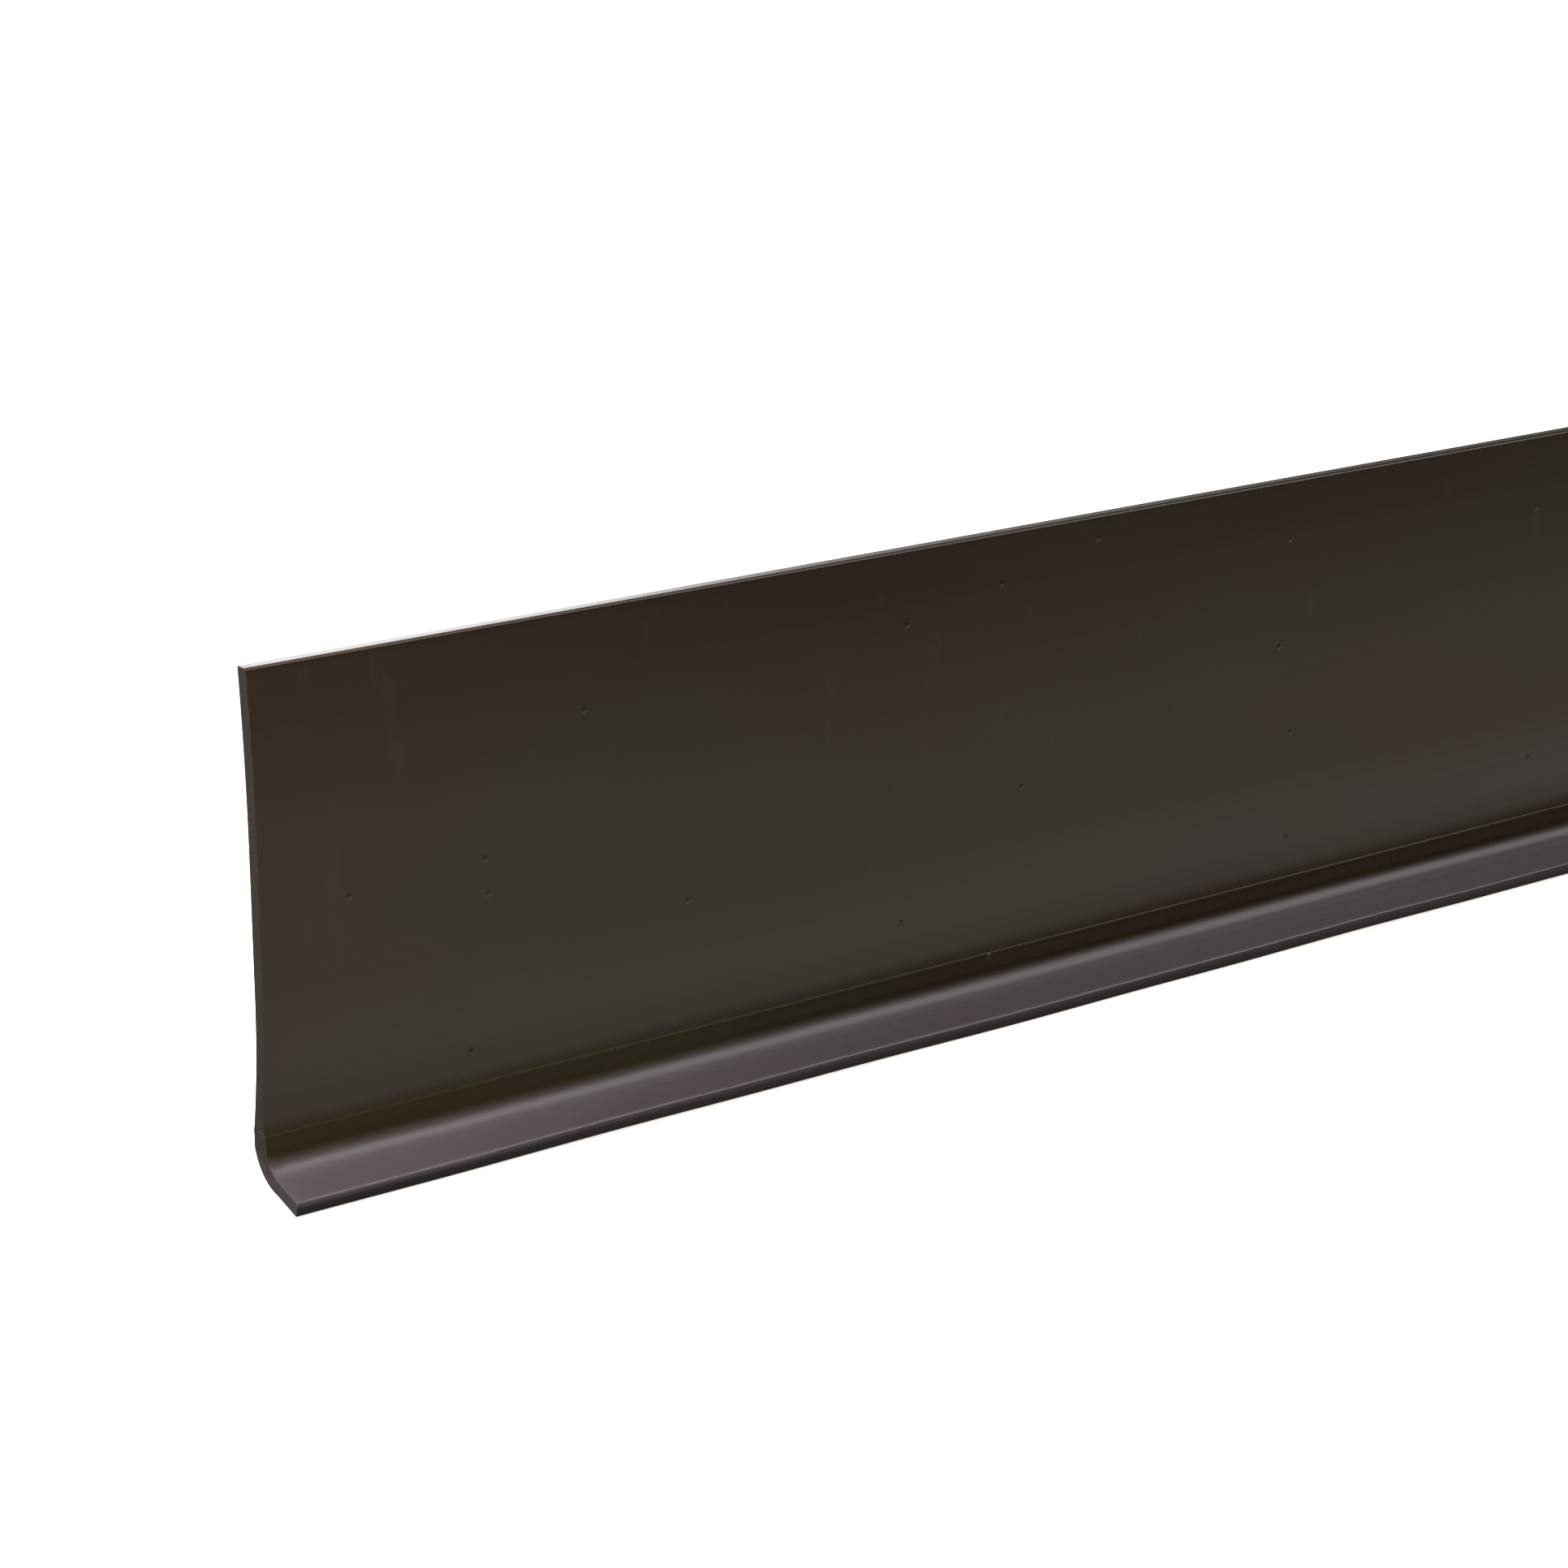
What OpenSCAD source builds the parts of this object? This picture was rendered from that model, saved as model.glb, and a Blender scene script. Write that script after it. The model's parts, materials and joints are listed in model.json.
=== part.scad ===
// Peel-and-stick vinyl door sweep: a bowed face strip with a coved, flexing lip along its foot.
// Two lengths of double-sided foam tape, each under a release liner, hold it on the door.
// X runs along the sweep, +Y points into the door and +Z is up.
// The origin is the centre of the bounding box's bottom, so the lip's lower edge rests on Z = 0.

/* [Overall] */
// Length of the sweep along the door
length = 914.4; // [300:0.1:1200]
// Height from the lip's lower edge to the top of the face strip
height = 101.6; // [100:0.1:130]

/* [Face strip] */
// Thickness of the strip over most of its height
strip_t = 3; // [2.4:0.1:3.4]
// Thickness of the heel, where the lip joins the strip
heel_t = 4.6; // [4:0.1:5]
// Height over which the strip thickens into the heel
heel_blend = 7; // [6:0.5:12]
// How far the hollow of the back lies in front of the heel
hollow = 2.65; // [1.5:0.05:3]
// Height over which the back runs from the heel into the hollow
heel_run = 28; // [22:1:32]
// How far the top edge leans back out of the hollow
top_lean = 1.6; // [0.5:0.1:2]
// Height over which the top leans back
top_run = 36; // [24:1:40]
// Radius of the rounded front top edge
top_round = 0.8; // [0.5:0.1:2]

/* [Lip] */
// Inside radius of the cove
cove_r = 6; // [5:0.5:8]
// Thickness of the lip beyond the cove
lip_t = 2.9; // [2:0.1:3.2]
// Radius of the rounded upper corner of the lip's front edge
nose_r = 1; // [0.5:0.1:1.4]
// Length of the flat part of the lip, beyond the cove
lip_flat = 7.15; // [5:0.05:10]
// Fall of the flat part of the lip, in degrees below the horizontal
lip_fall = 16; // [10:1:24]
// Radial clearance of the lip's bead in its socket
bead_gap = 0.05; // [0.03:0.01:0.1]
// Height above the bead's axis at which the strip stops, which leaves the lip room to flex
socket_cut = 1.8; // [1.7:0.1:2.1]

/* [Tape] */
// Width of each foam tape
tape_w = 25.4; // [15:0.1:26]
// Height of the lower tape's lower edge
lower_tape_z = 24; // [20:1:30]
// Height of the upper tape's lower edge
upper_tape_z = 70; // [60:1:72]
// Distance of the tape's ends from the cut ends of the strip
tape_inset = 3; // [1:0.5:10]
// Thickness of each adhesive layer
film_t = 0.13; // [0.1:0.01:0.2]
// Thickness of a release liner
liner_t = 0.12; // [0.1:0.01:0.2]
// How far a liner stands proud of the tape at each edge and end
liner_lap = 1; // [0.5:0.5:2]
// Parting gap between one layer and the next
layer_gap = 0.02; // [0.02:0.01:0.04]
// How far the heel stands off the door before the tape is pressed down
heel_gap = 0.4; // [0.2:0.1:1]

/* [Hidden] */

// Steps up each bowed face, steps round the cove, and degrees a step round the two rounded corners
bow_steps = 24;
cove_steps = 16;
round_step = 15;
// How strongly the steps of the front face crowd towards its foot, where it swells into the heel
foot_crowding = 2;
// Share of the bead's radius at which the lip's blade starts, inside the bead
blade_root = 0.8;

// The profile is drawn with Y = 0 at the lip's lower corner, and moved back to the middle at the end.
// The cove turns from the vertical heel to the falling lip.
cove_turn = 90 - lip_fall;
cove_y = lip_flat * cos(lip_fall) - (cove_r + lip_t) * sin(lip_fall);
cove_z = lip_flat * sin(lip_fall) + (cove_r + lip_t) * cos(lip_fall);
heel_front_y = cove_y + cove_r;
heel_back_y = heel_front_y + heel_t;

// The bead is as thick as the heel, and its axis is level with the centre of the cove
bead_r = heel_t / 2;
bead_y = heel_front_y + bead_r;

// The door's face, and the faces of the layers that lie against it
door_y = heel_back_y + heel_gap;
liner_y = door_y - liner_t;
grip_y = liner_y - layer_gap;
foam_y = grip_y - film_t - layer_gap;

// Centre of the rounded corner, and the middle of the sweep's depth from that corner to the door
nose_y = nose_r * cos(lip_fall) - (lip_t - nose_r) * sin(lip_fall);
nose_z = nose_r * sin(lip_fall) + (lip_t - nose_r) * cos(lip_fall);
lip_front_y = nose_y - nose_r;
mid_y = (lip_front_y + door_y) / 2;

// Eases: 1 at the heel and 0 from run above it, and 0 up to top_run below the top and 1 at the top
function heel_ease(z, run) = pow(max(0, (cove_z + run - z) / run), 2);
function top_ease(z) = pow(max(0, (z - height + top_run) / top_run), 2);

// The strip's back and front faces at a height
function back_y(z) = heel_back_y - hollow * (1 - heel_ease(z, heel_run)) + top_lean * top_ease(z);
function front_y(z) = back_y(z) - strip_t - (heel_t - strip_t) * heel_ease(z, heel_blend);

// Heights from z0 to z1, evenly spaced or crowded towards z0, and a list in reverse order
function heights(z0, z1, crowding = 1) = [
    for (i = [0:bow_steps]) z0 + (z1 - z0) * pow(i / bow_steps, crowding)
];
function reversed(list) = [for (i = [len(list) - 1:-1:0]) list[i]];

// The strip's back between two heights, moved towards the door by off
function back_line(z0, z1, off) = [for (z = heights(z0, z1)) [back_y(z) + off, z]];

// A point at angle a round the cove, below the horizontal, at radius r from its centre
function round_cove(a, r) = [cove_y + r * cos(a), cove_z - r * sin(a)];

// The lip's thickness at angle a round the cove
function lip_thickness(a) = heel_t + (lip_t - heel_t) * a / cove_turn;

// Extrudes a (Y, Z) profile from x0 to x1
module extrude_x(x0, x1) {
    translate([x0, -mid_y, 0])
        rotate([90, 0, 90])
            linear_extrude(x1 - x0) children();
}

// A circle about the bead's axis
module bead_circle(r) {
    translate([bead_y, cove_z]) circle(r, $fn = 64);
}

module face_strip_profile() {
    foot_z = cove_z + socket_cut;
    shoulder_z = height - top_round;
    shoulder_y = front_y(shoulder_z) + top_round;
    back = back_line(foot_z, height, 0);
    top_edge = [
        for (a = [90:round_step:180 - round_step])
            [shoulder_y + top_round * cos(a), shoulder_z + top_round * sin(a)]
    ];
    front = [for (z = heights(foot_z, shoulder_z, foot_crowding)) [front_y(z), z]];
    difference() {
        polygon(concat(back, top_edge, reversed(front)));
        bead_circle(bead_r + bead_gap);
    }
}

// The blade of the lip: its upper face round the cove to the front edge, and its lower face back to the heel
module lip_blade_profile() {
    turns = [for (i = [1:cove_steps]) cove_turn * i / cove_steps];
    upper = [for (a = turns) round_cove(a, cove_r)];
    lower = [for (a = turns) round_cove(a, cove_r + lip_thickness(a))];
    nose = [
        for (a = [lip_fall:round_step:lip_fall + 90])
            [nose_y - nose_r * sin(a), nose_z + nose_r * cos(a)]
    ];
    edge_bottom = [0, 0];
    root = blade_root * bead_r;
    polygon(concat(
        [[bead_y - root, cove_z]], upper, nose, [edge_bottom], reversed(lower), [[bead_y + root, cove_z]]
    ));
}

module bond_film(z0) {
    inner = back_line(z0, z0 + tape_w, layer_gap);
    outer = back_line(z0, z0 + tape_w, layer_gap + film_t);
    color("gainsboro")
        extrude_x(tape_inset - length / 2, length / 2 - tape_inset)
            polygon(concat(outer, reversed(inner)));
}

module foam_tape(z0) {
    inner = back_line(z0, z0 + tape_w, film_t + 2 * layer_gap);
    color("dimgray")
        extrude_x(tape_inset - length / 2, length / 2 - tape_inset)
            polygon(concat([[foam_y, z0], [foam_y, z0 + tape_w]], reversed(inner)));
}

module grip_film(z0) {
    color("gainsboro")
        extrude_x(tape_inset - length / 2, length / 2 - tape_inset)
            translate([grip_y - film_t, z0]) square([film_t, tape_w]);
}

module liner(z0) {
    inset = tape_inset - liner_lap;
    color("ivory")
        extrude_x(inset - length / 2, length / 2 - inset)
            translate([liner_y, z0 - liner_lap]) square([liner_t, tape_w + 2 * liner_lap]);
}

module face_strip() {
    color("#40392f") extrude_x(-length / 2, length / 2) face_strip_profile();
}

module sweep_lip() {
    color("#54484a")
        extrude_x(-length / 2, length / 2) {
            bead_circle(bead_r);
            lip_blade_profile();
        }
}

module upper_bond_film() { bond_film(upper_tape_z); }
module upper_foam_tape() { foam_tape(upper_tape_z); }
module upper_grip_film() { grip_film(upper_tape_z); }
module upper_liner() { liner(upper_tape_z); }

module lower_bond_film() { bond_film(lower_tape_z); }
module lower_foam_tape() { foam_tape(lower_tape_z); }
module lower_grip_film() { grip_film(lower_tape_z); }
module lower_liner() { liner(lower_tape_z); }

face_strip();
sweep_lip();
upper_bond_film();
upper_foam_tape();
upper_grip_film();
upper_liner();
lower_bond_film();
lower_foam_tape();
lower_grip_film();
lower_liner();
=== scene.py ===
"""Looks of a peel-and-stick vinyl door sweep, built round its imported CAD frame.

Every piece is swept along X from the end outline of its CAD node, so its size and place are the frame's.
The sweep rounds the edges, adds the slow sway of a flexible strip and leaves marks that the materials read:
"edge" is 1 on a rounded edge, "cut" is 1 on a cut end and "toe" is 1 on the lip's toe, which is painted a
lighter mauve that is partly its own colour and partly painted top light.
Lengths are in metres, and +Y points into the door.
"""

import json
import math

import bmesh
import bpy
import numpy as np
from mathutils import Matrix, Vector
from mathutils.geometry import delaunay_2d_cdt


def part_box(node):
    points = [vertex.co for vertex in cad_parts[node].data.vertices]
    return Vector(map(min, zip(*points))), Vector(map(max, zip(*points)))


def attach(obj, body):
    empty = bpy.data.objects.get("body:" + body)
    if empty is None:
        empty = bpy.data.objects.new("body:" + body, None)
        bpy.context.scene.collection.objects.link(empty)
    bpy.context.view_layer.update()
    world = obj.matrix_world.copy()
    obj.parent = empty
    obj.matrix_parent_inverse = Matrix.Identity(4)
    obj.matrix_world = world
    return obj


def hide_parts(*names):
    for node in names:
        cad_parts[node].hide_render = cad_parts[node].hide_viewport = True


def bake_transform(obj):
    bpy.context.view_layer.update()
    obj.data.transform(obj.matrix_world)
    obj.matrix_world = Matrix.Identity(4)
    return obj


MM = 0.001


def rgb(red, green, blue):
    return (red, green, blue, 1.0)


# Points closer than this are the same point, and a height within LEVEL of another is level with it
WELD = 0.001 * MM
LEVEL = 0.01 * MM

# Outlines: longest and shortest step, the turn that counts as a corner, and the turn from point to point
OUTLINE_STEP = 1.5 * MM
POINT_GAP = 0.02 * MM
CORNER_TURN = math.radians(35)
TURN_PER_POINT = math.radians(6)

# Sweeping: spacing of the cross-sections and of the points inside a cut end
STATION = 4 * MM
CAP_STEP = 0.9 * MM
# Rounding of a cut end, as a share of the rounding of the outline's corners, and the steps it is made in
CUT_ROUND = 0.5
CUT_ANGLES = np.radians((0, 30, 60, 90))

# Edge rounding of each kind of piece
VINYL_EDGE = 0.28 * MM
FOAM_EDGE = 0.45 * MM
FILM_EDGE = 0.04 * MM

# Edge rounding where web and lip meet, and the distance over which a cut end's rounding grows from there
SEAM_EDGE = 0.02 * MM
SEAM_EASE = 0.6 * MM

# Heights between which the lip's toe colour, a lighter mauve that is partly painted top light, turns into
# the brown of the strip; the brown above it paints shade into the cove
TOE_SHADE_FADE = (5.8 * MM, 8.4 * MM)

# Depth below the lip's axis at which its neck joins the cove
NECK_DROP = 1.1 * MM

# Sway of the whole flexible strip towards and away from the door: (amplitude, wavelength, phase)
SWAY = ((0.32 * MM, 0.74, 0.6), (0.08 * MM, 0.21, 2.1))
# Rise and fall of the soft lip's front edge: (amplitude, wavelength, phase)
LIP_WAVE = ((0.16 * MM, 0.190, 1.0), (0.07 * MM, 0.067, 0.3))

# The camera, and where it sees the lip's near lower corner: to its right, above its axis and ahead of it
CAMERA_LENS_MM = 93.7
CAMERA_SENSOR_MM = 36.0
CAMERA_AZIMUTH = math.radians(-36.66)
CAMERA_ELEVATION = math.radians(17.0)
CORNER_IN_VIEW = (-0.0892, -0.0793, 0.7468)

# The floor as reflections see it: shaded close in front of the lip, and darker the more they graze it.
# Each ramp holds the distance or slope it starts and ends at, and the share of the tone there.
FLOOR_TONE = 0.80
FLOOR_SHADE = (0.008, 0.018, 0.15, 1.0)
FLOOR_GRAZE = (0.10, 0.36, 0.12, 1.0)

# The floor's own white, its glow's colour and strength for the camera, its roughness, size and height
FLOOR_WHITE = rgb(0.9, 0.9, 0.9)
FLOOR_GLOW = rgb(1.0, 0.95, 0.86)
FLOOR_LIT = 0.8
FLOOR_ROUGH = 0.9
FLOOR_SIZE = 40
FLOOR_Z = -0.4 * MM

# The sky that reflections see: dim low down in front, bright overhead and behind the near end
SKY_DIM = 0.03
SKY_BRIGHT = 1.0
SKY_BACK = (-0.6, 0.8, 0.0)
SKY_TURN = (0.0, 0.5)
SKY_OVERHEAD = (0.75, 0.98)
SKY_WHITE = rgb(1.0, 0.995, 0.99)

# Softboxes: place, point faced, size, power, heading of the first side, and spread in degrees
SOFTBOXES = {
    "top_strip": ((0.42, -0.45, 0.95), (-0.2, 0, 0), (1.1, 0.5), 4.9, (1, -0.3, -0.8), 180),
    "key": ((-0.75, -0.2, 0.7), (-0.4, 0, 0), (0.6, 0.3), 5.7, (0, 1, 0), 180),
    "near_end": ((-0.60, -0.12, 0.5), (-0.46, 0, 0), (0.2, 0.1), 0.1, (0, 1, 0), 28),
    "back": ((-0.2, 1.2, 0.6), (0, 0, 0.05), (1.6, 0.8), 14, (1, 0, 0), 180),
}

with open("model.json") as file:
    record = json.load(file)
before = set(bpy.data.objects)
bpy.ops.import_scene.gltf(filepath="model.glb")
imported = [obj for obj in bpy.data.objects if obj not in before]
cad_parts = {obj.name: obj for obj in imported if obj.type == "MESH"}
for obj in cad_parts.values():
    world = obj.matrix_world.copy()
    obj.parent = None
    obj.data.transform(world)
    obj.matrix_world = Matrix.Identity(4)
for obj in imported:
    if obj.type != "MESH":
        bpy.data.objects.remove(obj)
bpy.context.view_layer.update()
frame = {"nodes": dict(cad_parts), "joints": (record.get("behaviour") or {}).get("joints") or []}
joints = {j["name"]: j for j in frame["joints"]}
AXIS_Y, AXIS_Z = joints["lip_flex"]["pos_m"][1:]
LIP_FRONT_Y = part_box("sweep_lip")[0].y


# ---------------------------------------------------------------- outlines


def end_outline(node):
    """The (y, z) outline of a CAD node's end, in order round it, anticlockwise with Y right and Z up."""
    mesh = bmesh.new()
    mesh.from_mesh(frame["nodes"][node].data)
    bmesh.ops.remove_doubles(mesh, verts=mesh.verts, dist=WELD)
    end_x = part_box(node)[0].x
    cap = {f for f in mesh.faces if all(abs(v.co.x - end_x) < WELD for v in f.verts)}
    rim = [e for e in mesh.edges if len(cap.intersection(e.link_faces)) == 1]
    beside = {}
    for edge in rim:
        a, b = edge.verts
        beside.setdefault(a, []).append(b)
        beside.setdefault(b, []).append(a)
    walk = [rim[0].verts[0]]
    step = beside[walk[0]][0]
    while step is not walk[0]:
        walk.append(step)
        step = next(v for v in beside[step] if v is not walk[-2])
    points = np.array([(v.co.y, v.co.z) for v in walk])
    mesh.free()
    return points if turned_area(points) > 0 else points[::-1]


def turned_area(points):
    """Area inside an outline, positive when it runs anticlockwise."""
    after = np.roll(points, -1, axis=0)
    return float(np.sum(points[:, 0] * after[:, 1] - after[:, 0] * points[:, 1]) / 2)


def smooth_outline(points, edge_round, seam_z=None):
    """Rounds every vertex of an outline with a short parabola.

    A corner is rounded over edge_round, and a vertex of a faceted curve over half of its shorter side.
    A corner at height seam_z butts against another piece, so it stays sharp.
    Returns the new points, and 1 or 0 for each to say if it is on an open corner."""
    count = len(points)
    made, edge = [], []
    for i in range(count):
        here, before, after = points[i], points[i - 1], points[(i + 1) % count]
        back, ahead = before - here, after - here
        len_back, len_ahead = np.linalg.norm(back), np.linalg.norm(ahead)
        turn = math.pi - math.acos(np.clip(back @ ahead / (len_back * len_ahead), -1, 1))
        corner = turn > CORNER_TURN
        at_seam = seam_z is not None and abs(here[1] - seam_z) < LEVEL
        cut = min(len_back, len_ahead) / 2
        if at_seam:
            cut = min(cut, SEAM_EDGE)
        elif corner:
            cut = min(cut, edge_round)
        start = here + back / len_back * cut
        end = here + ahead / len_ahead * cut
        if made:
            fill_straight(made, edge, start)
        for t in np.linspace(0, 1, 2 + math.ceil(turn / TURN_PER_POINT)):
            made.append((1 - t) ** 2 * start + 2 * t * (1 - t) * here + t**2 * end)
            edge.append(float(corner and not at_seam))
    fill_straight(made, edge, made[0])
    return drop_close(np.array(made), np.array(edge))


def fill_straight(made, edge, target):
    """Adds points between the last one made and target, so that no straight is longer than OUTLINE_STEP."""
    last = made[-1]
    parts = math.ceil(np.linalg.norm(target - last) / OUTLINE_STEP)
    for k in range(1, parts):
        made.append(last + (target - last) * k / parts)
        edge.append(0.0)


def drop_close(points, edge):
    """Leaves out each point that lies within POINT_GAP of the last one kept."""
    kept = [0]
    for i in range(1, len(points)):
        if np.linalg.norm(points[i] - points[kept[-1]]) > POINT_GAP:
            kept.append(i)
    if np.linalg.norm(points[kept[-1]] - points[0]) < POINT_GAP:
        kept.pop()
    return points[kept], edge[kept]


def inward_normals(points):
    """Unit normals that point into an anticlockwise outline."""
    along = np.roll(points, -1, axis=0) - np.roll(points, 1, axis=0)
    along /= np.linalg.norm(along, axis=1)[:, None]
    return np.stack([-along[:, 1], along[:, 0]], axis=1)


# ---------------------------------------------------------------- sweeping


def waves(table, x):
    """Sum of the (amplitude, wavelength, phase) sine waves in table, at x."""
    return sum(a * np.sin(2 * math.pi * x / length + phase) for a, length, phase in table)


def stations(x0, x1, end_round):
    """(x, inset) of each cross-section: closely spaced and inset round both ends, then STATION apart."""
    ends = [(end_round * (1 - math.cos(a)), end_round * (1 - math.sin(a))) for a in CUT_ANGLES]
    middle = np.linspace(x0 + end_round, x1 - end_round, math.ceil((x1 - x0) / STATION))[1:-1]
    near = [(x0 + dx, inset) for dx, inset in ends]
    far = [(x1 - dx, inset) for dx, inset in reversed(ends)]
    return near + [(x, 0.0) for x in middle] + far


def seam_ease(outline, seam_z):
    """Share of a cut end's rounding at each outline point: none where it meets another piece at seam_z."""
    corners = outline[np.abs(outline[:, 1] - seam_z) < SEAM_EDGE]
    gaps = np.linalg.norm(outline[:, None] - corners[None], axis=2).min(axis=1)
    return np.clip(gaps / SEAM_EASE, 0, 1)


def sweep(name, outline, marks, span, end_round, shape, ease=1.0):
    """A closed piece swept along X. shape(x, points) returns the (y, z) points as they lie at x.

    marks holds, by name, a value for each outline point that the material reads. ease is the share of the
    rounding of the cut ends at each point."""
    normals = inward_normals(outline) * np.reshape(ease, (-1, 1))
    sections = stations(span[0], span[1], end_round)
    mesh = bmesh.new()
    layers = [mesh.verts.layers.float.new(key) for key in marks]
    cut_layer = mesh.verts.layers.float.new("cut")
    values = list(zip(*marks.values()))
    rings = []
    for x, inset in sections:
        placed = shape(x, outline + normals * inset)
        ring = []
        for (y, z), point_values in zip(placed, values):
            vert = mesh.verts.new((x, y, z))
            for layer, value in zip(layers, point_values):
                vert[layer] = value
            vert[cut_layer] = float(inset > 0)
            ring.append(vert)
        rings.append(ring)
    for this, following in zip(rings, rings[1:]):
        for i in range(len(this)):
            j = (i + 1) % len(this)
            mesh.faces.new((this[i], this[j], following[j], following[i])).smooth = True
    cover_end(mesh, rings[0], facing=-1)
    cover_end(mesh, rings[-1], facing=1)
    data = bpy.data.meshes.new(name)
    mesh.to_mesh(data)
    mesh.free()
    piece = bpy.data.objects.new(name, data)
    bpy.context.scene.collection.objects.link(piece)
    return piece


def cover_end(mesh, ring, facing):
    """Covers a cut end with triangles small enough to bend. Points inside take the nearest marks."""
    x = ring[0].co.x
    outline = np.array([v.co.yz for v in ring])
    columns, rows = (np.arange(a, b, CAP_STEP) for a, b in zip(outline.min(axis=0), outline.max(axis=0)))
    grid = np.stack(np.meshgrid(columns, rows), axis=-1).reshape(-1, 2)
    gaps = np.linalg.norm(grid[:, None] - outline[None], axis=2)
    clear = gaps.min(axis=1) > CAP_STEP / 2
    inside, nearest = grid[clear], gaps[clear].argmin(axis=1)
    corners = [Vector(p) for p in (*outline, *inside)]
    points, _, faces, sources = delaunay_2d_cdt(corners, [], [range(len(ring))], 1, WELD / 10)[:4]
    verts = {}
    for i in {i for face in faces for i in face}:
        source = sources[i][0]
        if source < len(ring):
            verts[i] = ring[source]
        else:
            verts[i] = mesh.verts.new((x, *points[i]), ring[nearest[source - len(ring)]])
    for face in faces:
        mesh.faces.new([verts[i] for i in face][::facing])


def swayed(x, points):
    """The cross-section moved with the slow sway of the whole strip."""
    return points + np.array([waves(SWAY, x), 0.0])


def span_of(node):
    """The X range of a CAD node."""
    low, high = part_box(node)
    return low.x, high.x


# ---------------------------------------------------------------- materials


class Nodes:
    """The node tree of a material or a world, with short ways to add and join nodes."""

    def __init__(self, owner):
        owner.use_nodes = True
        self.owner = owner
        self.tree = owner.node_tree
        self.shader = self.tree.nodes.get("Principled BSDF") or self.tree.nodes["Background"]

    def add(self, kind, settings=None, **inputs):
        node = self.tree.nodes.new("ShaderNode" + kind)
        for key, value in (settings or {}).items():
            setattr(node, key, value)
        for key, value in inputs.items():
            self.feed(node.inputs[key.replace("_", " ")], value)
        return node

    def feed(self, socket, value):
        if isinstance(value, bpy.types.NodeSocket):
            self.tree.links.new(value, socket)
        else:
            socket.default_value = value

    def point(self, scale):
        """Object position, stretched by scale along each axis."""
        place = self.add("TexCoord").outputs["Object"]
        return self.add("Mapping", Vector=place, Scale=scale).outputs["Vector"]

    def noise(self, scale, detail=3.0, rough=0.5):
        vector = self.point(scale)
        made = self.add("TexNoise", Vector=vector, Scale=1.0, Detail=detail, Roughness=rough)
        return made.outputs["Fac"]

    def specks(self, spacing, radius, share):
        """Round specks seen along Y, in a share of the cells: 1 in the middle and 0 from radius on."""
        place = self.add("SeparateXYZ", Vector=self.point((1 / spacing, 1, 1 / spacing))).outputs
        flat = self.add("CombineXYZ", X=place["X"], Y=place["Z"]).outputs["Vector"]
        cells = self.add("TexVoronoi", {"voronoi_dimensions": "2D"}, Vector=flat, Scale=1.0)
        chance = self.add("SeparateColor", Color=cells.outputs["Color"]).outputs["Red"]
        dome = self.ramp(cells.outputs["Distance"], 0.0, radius / spacing, 1.0, 0.0)
        return self.math("MULTIPLY", dome, self.math("LESS_THAN", chance, share))

    def mark(self, name):
        return self.add("Attribute", {"attribute_name": name}).outputs["Fac"]

    def ramp(self, value, low, high, to_low=0.0, to_high=1.0):
        """value mapped from low..high to to_low..to_high, and held at the ends."""
        made = self.add("MapRange", {"clamp": True}, Value=value)
        for key, number in zip(("From Min", "From Max", "To Min", "To Max"), (low, high, to_low, to_high)):
            self.feed(made.inputs[key], number)
        return made.outputs["Result"]

    def math(self, operation, a, b):
        made = self.add("Math", {"operation": operation})
        self.feed(made.inputs[0], a)
        self.feed(made.inputs[1], b)
        return made.outputs["Value"]

    def mix(self, share, a, b):
        """Colour a at share 0 and b at share 1."""
        made = self.add("Mix", {"data_type": "RGBA"})
        self.feed(made.inputs["Factor"], share)
        self.feed(made.inputs["A"], a)
        self.feed(made.inputs["B"], b)
        return made.outputs["Result"]

    def bump(self, height, distance, strength=1.0, normal=None):
        made = self.add("Bump", Height=height, Distance=distance, Strength=strength)
        if normal is not None:
            self.feed(made.inputs["Normal"], normal)
        return made.outputs["Normal"]

    def set(self, **inputs):
        for key, value in inputs.items():
            self.feed(self.shader.inputs[key.replace("_", " ")], value)


# Noise scales are in features a metre along X, Y and Z. A ROUGH pair is the lowest and highest roughness,
# and any other pair is the noise that a ramp starts and ends at.
STRIP_WARM = rgb(0.022, 0.0095, 0.0045)
STRIP_COOL = rgb(0.019, 0.0150, 0.0045)
# The toe's lighter mauve: partly the lip's own colour, partly painted top light on its upward face
TOE_LIT_WARM = rgb(0.054, 0.0415, 0.0430)
TOE_LIT_COOL = rgb(0.053, 0.0420, 0.0430)
VINYL_WORN = rgb(0.075, 0.065, 0.060)
VINYL_ROUGH = (0.26, 0.33)
VINYL_IOR = 1.5
# Shares of the worn colour on scuffs, rounded edges and cut ends, and roughness added by scuffs and cuts
SCUFF_WEAR = 0.12
EDGE_WEAR = 0.15
CUT_WEAR = 0.25
SCUFF_ROUGH = 0.08
CUT_ROUGH = 0.2
VINYL_DRIFT_SCALE = (7, 20, 16)
VINYL_DRIFT = (0.38, 0.64)
DIE_LINE_SCALE = (3, 700, 700)
DIE_LINE_DEPTH = 0.02 * MM
GRAIN_SCALE = (2600, 2600, 2600)
GRAIN_DEPTH = 0.015 * MM
SCUFF_SCALE = (160, 60, 45)
SCUFF = (0.60, 0.80)
SAW_SCALE = (3000, 900, 3000)
SAW_DEPTH = 0.1 * MM
NIB_SPACING = 26 * MM
NIB_RADIUS = 0.7 * MM
NIB_HEIGHT = 0.15 * MM
NIB_SHARE = 0.3

FOAM_DARK = rgb(0.085, 0.087, 0.09)
FOAM_LIGHT = rgb(0.14, 0.14, 0.145)
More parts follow.
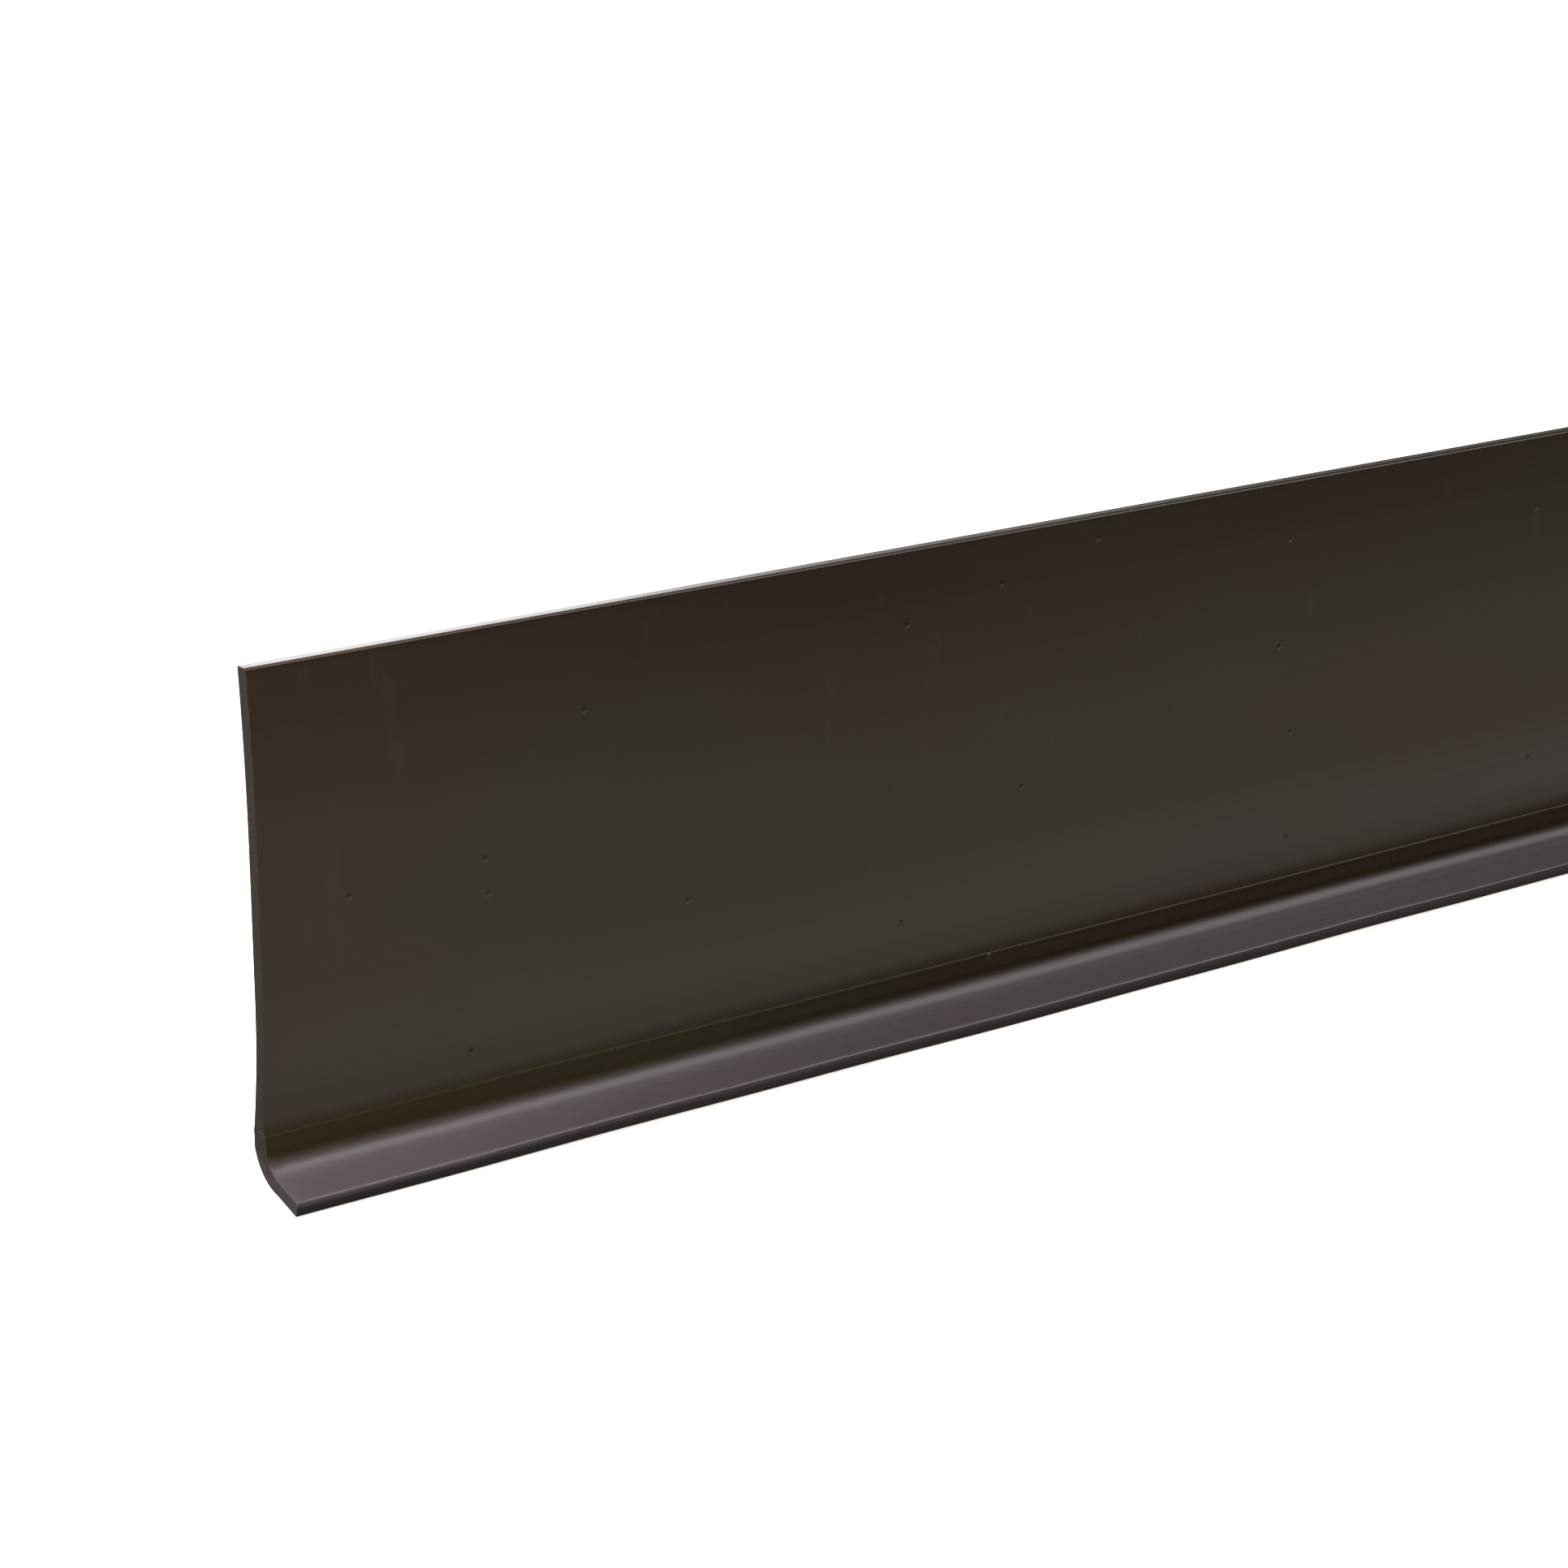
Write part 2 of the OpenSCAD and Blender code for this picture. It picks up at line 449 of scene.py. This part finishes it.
# Colour of the pits: painted shade in the foam's cells
FOAM_PIT_SHADE = rgb(0.05, 0.05, 0.055)
FOAM_ROUGH = (0.82, 0.95)
FOAM_CLOUD_SCALE = (90, 90, 90)
FOAM_CELL_SCALE = (2600, 2600, 2600)
FOAM_PIT_RISE = (0.1, 0.6)
FOAM_PIT_DEPTH = 0.12 * MM

ADHESIVE_DARK = rgb(0.30, 0.29, 0.25)
ADHESIVE_LIGHT = rgb(0.40, 0.385, 0.33)
ADHESIVE_BUBBLE = rgb(0.55, 0.54, 0.5)
ADHESIVE_ROUGH = (0.12, 0.24)
ADHESIVE_CLOUD_SCALE = (60, 60, 60)
ADHESIVE_RIPPLE_SCALE = (500, 500, 500)
ADHESIVE_RIPPLE_DEPTH = 0.04 * MM
BUBBLE_SCALE = (900, 900, 900)
BUBBLES = (0.62, 0.7)

LINER_DARK = rgb(0.74, 0.70, 0.58)
LINER_LIGHT = rgb(0.82, 0.79, 0.69)
LINER_CLOUD = rgb(0.70, 0.66, 0.54)
LINER_EDGE = rgb(0.88, 0.86, 0.8)
LINER_ROUGH = (0.38, 0.55)
LINER_CLOUD_SCALE = (30, 90, 90)
FIBRE_SCALE = (500, 1500, 1500)
FIBRES = (0.35, 0.65)
FIBRE_DEPTH = 0.03 * MM

# The range of a noise over which a roughness goes from its lower to its upper value
ROUGH_RANGE = (0.3, 0.7)


def vinyl(name):
    """Satin vinyl: slow colour drift, die lines along X, a fine grain, stray nibs and paler worn edges."""
    n = Nodes(bpy.data.materials.new(name))
    drift = n.ramp(n.noise(VINYL_DRIFT_SCALE, detail=2.0), *VINYL_DRIFT)
    lines = n.noise(DIE_LINE_SCALE, detail=4.0, rough=0.6)
    grain = n.noise(GRAIN_SCALE, detail=2.0)
    scuff = n.ramp(n.noise(SCUFF_SCALE, detail=5.0, rough=0.65), *SCUFF)
    nibs = n.specks(NIB_SPACING, NIB_RADIUS, NIB_SHARE)

    edge = n.mark("edge")
    cut = n.mark("cut")
    colour = n.mix(drift, STRIP_WARM, STRIP_COOL)
    # The toe's lighter mauve is partly painted top light, and its fade to brown up the cove paints shade
    # there
    colour = n.mix(n.mark("toe"), colour, n.mix(drift, TOE_LIT_WARM, TOE_LIT_COOL))
    colour = n.mix(n.math("MULTIPLY", scuff, SCUFF_WEAR), colour, VINYL_WORN)
    colour = n.mix(n.math("MULTIPLY", edge, EDGE_WEAR), colour, VINYL_WORN)
    colour = n.mix(n.math("MULTIPLY", cut, CUT_WEAR), colour, VINYL_WORN)

    rough = n.ramp(lines, *ROUGH_RANGE, *VINYL_ROUGH)
    rough = n.math("ADD", rough, n.math("MULTIPLY", scuff, SCUFF_ROUGH))
    rough = n.math("ADD", rough, n.math("MULTIPLY", cut, CUT_ROUGH))

    saw = n.noise(SAW_SCALE, detail=2.0)
    relief = n.bump(lines, DIE_LINE_DEPTH, 0.5)
    relief = n.bump(grain, GRAIN_DEPTH, 0.5, relief)
    relief = n.bump(n.math("MULTIPLY", saw, cut), SAW_DEPTH, 0.8, relief)
    relief = n.bump(nibs, NIB_HEIGHT, 1.0, relief)
    n.set(Base_Color=colour, Roughness=rough, Normal=relief, IOR=VINYL_IOR)
    return n.owner


def foam(name):
    """Closed-cell foam: a dull skin with small cells that show as pits, painted darker as shade in the
    cells.
    """
    n = Nodes(bpy.data.materials.new(name))
    cells = n.add("TexVoronoi", Vector=n.point(FOAM_CELL_SCALE), Scale=1.0).outputs["Distance"]
    cloud = n.noise(FOAM_CLOUD_SCALE)
    pits = n.ramp(cells, *FOAM_PIT_RISE)
    # The pits are painted darker as shade in the cells, on top of their bump
    colour = n.mix(pits, FOAM_PIT_SHADE, n.mix(cloud, FOAM_DARK, FOAM_LIGHT))
    rough = n.ramp(cloud, *ROUGH_RANGE, *FOAM_ROUGH)
    n.set(Base_Color=colour, Roughness=rough, Normal=n.bump(pits, FOAM_PIT_DEPTH))
    return n.owner


def adhesive(name):
    """Clear pressure-sensitive adhesive on its carrier: glossy, slightly amber, with trapped bubbles."""
    n = Nodes(bpy.data.materials.new(name))
    cloud = n.noise(ADHESIVE_CLOUD_SCALE)
    bubbles = n.ramp(n.noise(BUBBLE_SCALE, detail=1.0), *BUBBLES)
    colour = n.mix(cloud, ADHESIVE_DARK, ADHESIVE_LIGHT)
    colour = n.mix(n.math("MULTIPLY", bubbles, 0.5), colour, ADHESIVE_BUBBLE)
    rough = n.ramp(cloud, *ROUGH_RANGE, *ADHESIVE_ROUGH)
    relief = n.bump(n.noise(ADHESIVE_RIPPLE_SCALE), ADHESIVE_RIPPLE_DEPTH, 0.6)
    n.set(Base_Color=colour, Roughness=rough, Normal=relief)
    return n.owner


def liner_paper(name):
    """Siliconised release paper: pale, faintly fibrous, with a waxy sheen."""
    n = Nodes(bpy.data.materials.new(name))
    fibres = n.noise(FIBRE_SCALE, detail=5.0, rough=0.6)
    cloud = n.noise(LINER_CLOUD_SCALE)
    colour = n.mix(n.ramp(fibres, *FIBRES), LINER_DARK, LINER_LIGHT)
    colour = n.mix(n.math("MULTIPLY", cloud, 0.3), colour, LINER_CLOUD)
    colour = n.mix(n.math("MULTIPLY", n.mark("edge"), 0.4), colour, LINER_EDGE)
    rough = n.ramp(fibres, *ROUGH_RANGE, *LINER_ROUGH)
    n.set(Base_Color=colour, Roughness=rough, Normal=n.bump(fibres, FIBRE_DEPTH, 0.6))
    return n.owner


# ---------------------------------------------------------------- the vinyl


def lip_outline():
    """The lip's outline, with its neck filled out from the bead to the foot of the face strip.

    The foot's two corners replace the parts of the bead that show, so the vinyl has no groove."""
    foot = end_outline("face_strip")
    foot_z = foot[:, 1].min()
    corners = foot[foot[:, 1] < foot_z + LEVEL]
    front = corners[corners[:, 0].argmin()]
    back = corners[corners[:, 0].argmax()]
    lip = end_outline("sweep_lip")
    lip = np.roll(lip, -int(lip[:, 1].argmax()), axis=0)
    before, blade, after = [], [], []
    for y, z in lip:
        if z < AXIS_Z - NECK_DROP:
            blade.append((y, z))
        elif z > foot_z:
            (after if blade else before).append((y, z))
    return np.array([*before, front, *blade, back, *after])


def lip_shape(x, points):
    """The strip's sway, and a rise and fall that grows from the heel to the lip's front edge."""
    placed = swayed(x, points)
    share = np.clip((AXIS_Y - points[:, 0]) / (AXIS_Y - LIP_FRONT_Y), 0, 1) ** 2
    placed[:, 1] += share * waves(LIP_WAVE, x)
    return placed


def add_vinyl():
    strip_vinyl = vinyl("strip_vinyl")
    lip_vinyl = vinyl("lip_vinyl")

    foot_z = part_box("face_strip")[0].z
    outline, edge = smooth_outline(end_outline("face_strip"), VINYL_EDGE, foot_z)
    marks = {"edge": edge, "toe": np.zeros(len(edge))}
    ease = seam_ease(outline, foot_z)
    web = sweep("web_vinyl", outline, marks, span_of("face_strip"), CUT_ROUND * VINYL_EDGE, swayed, ease)
    web.data.materials.append(strip_vinyl)
    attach(web, "strip")
    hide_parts("face_strip")

    outline, edge = smooth_outline(lip_outline(), VINYL_EDGE, foot_z)
    # The toe mark fades to 0 up the cove, so the cove is painted darker as shade
    marks = {"edge": edge, "toe": np.interp(outline[:, 1], TOE_SHADE_FADE, (1.0, 0.0))}
    ease = seam_ease(outline, foot_z)
    lip = sweep("lip_vinyl", outline, marks, span_of("sweep_lip"), CUT_ROUND * VINYL_EDGE, lip_shape, ease)
    lip.data.materials.append(lip_vinyl)
    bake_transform(lip)
    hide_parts("sweep_lip")


# ---------------------------------------------------------------- the tape


def add_layer(node, material, edge_round):
    """One layer of a tape, standing for its CAD node."""
    outline, edge = smooth_outline(end_outline(node), edge_round)
    piece = sweep(node + "_layer", outline, {"edge": edge}, span_of(node), CUT_ROUND * edge_round, swayed)
    piece.data.materials.append(material)
    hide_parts(node)
    return piece


def add_tapes():
    foam_material = foam("foam")
    adhesive_material = adhesive("adhesive")
    liner_material = liner_paper("liner_paper")
    for side in ("upper", "lower"):
        core = add_layer(side + "_foam_tape", foam_material, FOAM_EDGE)
        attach(core, "strip")
        for part in ("_bond_film", "_grip_film"):
            film = add_layer(side + part, adhesive_material, FILM_EDGE)
            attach(film, "strip")
        liner = add_layer(side + "_liner", liner_material, FILM_EDGE)
        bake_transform(liner)


# ---------------------------------------------------------------- stage, light and camera


def add_floor():
    """A pale floor that glows a little. The camera sees it white; reflections see its tone."""
    n = Nodes(bpy.data.materials.new("floor_white"))
    ahead = n.math("MULTIPLY", n.add("SeparateXYZ", Vector=n.point((1, 1, 1))).outputs["Y"], -1.0)
    slope = n.add("SeparateXYZ", Vector=n.add("NewGeometry").outputs["Incoming"]).outputs["Z"]
    tone = n.math("MULTIPLY", n.ramp(ahead, *FLOOR_SHADE), n.ramp(slope, *FLOOR_GRAZE))
    tone = n.math("MULTIPLY", tone, FLOOR_TONE)
    seen = n.add("LightPath").outputs["Is Camera Ray"]
    colour = n.mix(seen, rgb(0, 0, 0), FLOOR_WHITE)
    glow = n.ramp(seen, 0.0, 1.0, tone, FLOOR_LIT)
    n.set(Base_Color=colour, Roughness=FLOOR_ROUGH, Specular_IOR_Level=0.0)
    n.set(Emission_Color=FLOOR_GLOW, Emission_Strength=glow)
    bpy.ops.mesh.primitive_plane_add(size=FLOOR_SIZE, location=(0, 0, FLOOR_Z))
    floor = bpy.context.object
    floor.name = "floor"
    floor.data.materials.append(n.owner)


def add_world():
    """Soft studio light: dim low down in front, bright behind and overhead. The camera sees plain white."""
    n = Nodes(bpy.data.worlds.new("studio"))
    bpy.context.scene.world = n.owner
    way = n.add("TexCoord").outputs["Generated"]
    towards = n.add("VectorMath", {"operation": "DOT_PRODUCT"})
    n.feed(towards.inputs[0], way)
    n.feed(towards.inputs[1], SKY_BACK)
    behind = n.ramp(towards.outputs["Value"], *SKY_TURN, SKY_DIM, SKY_BRIGHT)
    overhead = n.ramp(n.add("SeparateXYZ", Vector=way).outputs["Z"], *SKY_OVERHEAD, SKY_DIM, SKY_BRIGHT)
    strength = n.math("MAXIMUM", behind, overhead)
    strength = n.math("MAXIMUM", strength, n.add("LightPath").outputs["Is Camera Ray"])
    n.set(Color=SKY_WHITE, Strength=strength)


def add_softbox(name, place, target, size, power, heading, spread):
    """A rectangular light at place that faces target, with its first side running towards heading."""
    light = bpy.data.lights.new(name, "AREA")
    light.shape = "RECTANGLE"
    light.size, light.size_y = size
    light.energy = power
    light.spread = math.radians(spread)
    box = bpy.data.objects.new(name, light)
    box.location = place
    back = (Vector(place) - Vector(target)).normalized()
    up = back.cross(Vector(heading)).normalized()
    box.rotation_mode = "QUATERNION"
    box.rotation_quaternion = Matrix((up.cross(back), up, back)).transposed().to_quaternion()
    bpy.context.scene.collection.objects.link(box)


def add_camera():
    sin_a, cos_a = math.sin(CAMERA_AZIMUTH), math.cos(CAMERA_AZIMUTH)
    sin_e, cos_e = math.sin(CAMERA_ELEVATION), math.cos(CAMERA_ELEVATION)
    ahead = Vector((-sin_a * cos_e, cos_a * cos_e, -sin_e))
    right = Vector((cos_a, sin_a, 0))
    up = right.cross(ahead)
    lip = end_outline("sweep_lip")
    y, z = lip[lip[:, 1].argmin()]
    corner = Vector((span_of("sweep_lip")[0], y, z))
    to_right, above, ahead_of = CORNER_IN_VIEW
    data = bpy.data.cameras.new("camera")
    data.lens = CAMERA_LENS_MM
    data.sensor_width = CAMERA_SENSOR_MM
    camera = bpy.data.objects.new("camera", data)
    camera.location = corner - right * to_right - up * above - ahead * ahead_of
    camera.rotation_mode = "QUATERNION"
    camera.rotation_quaternion = ahead.to_track_quat("-Z", "Y")
    bpy.context.scene.collection.objects.link(camera)
    bpy.context.scene.camera = camera


add_vinyl()
add_tapes()
add_floor()
add_world()
for light, setup in SOFTBOXES.items():
    add_softbox(light, *setup)
add_camera()
bpy.context.scene.view_settings.view_transform = "Standard"
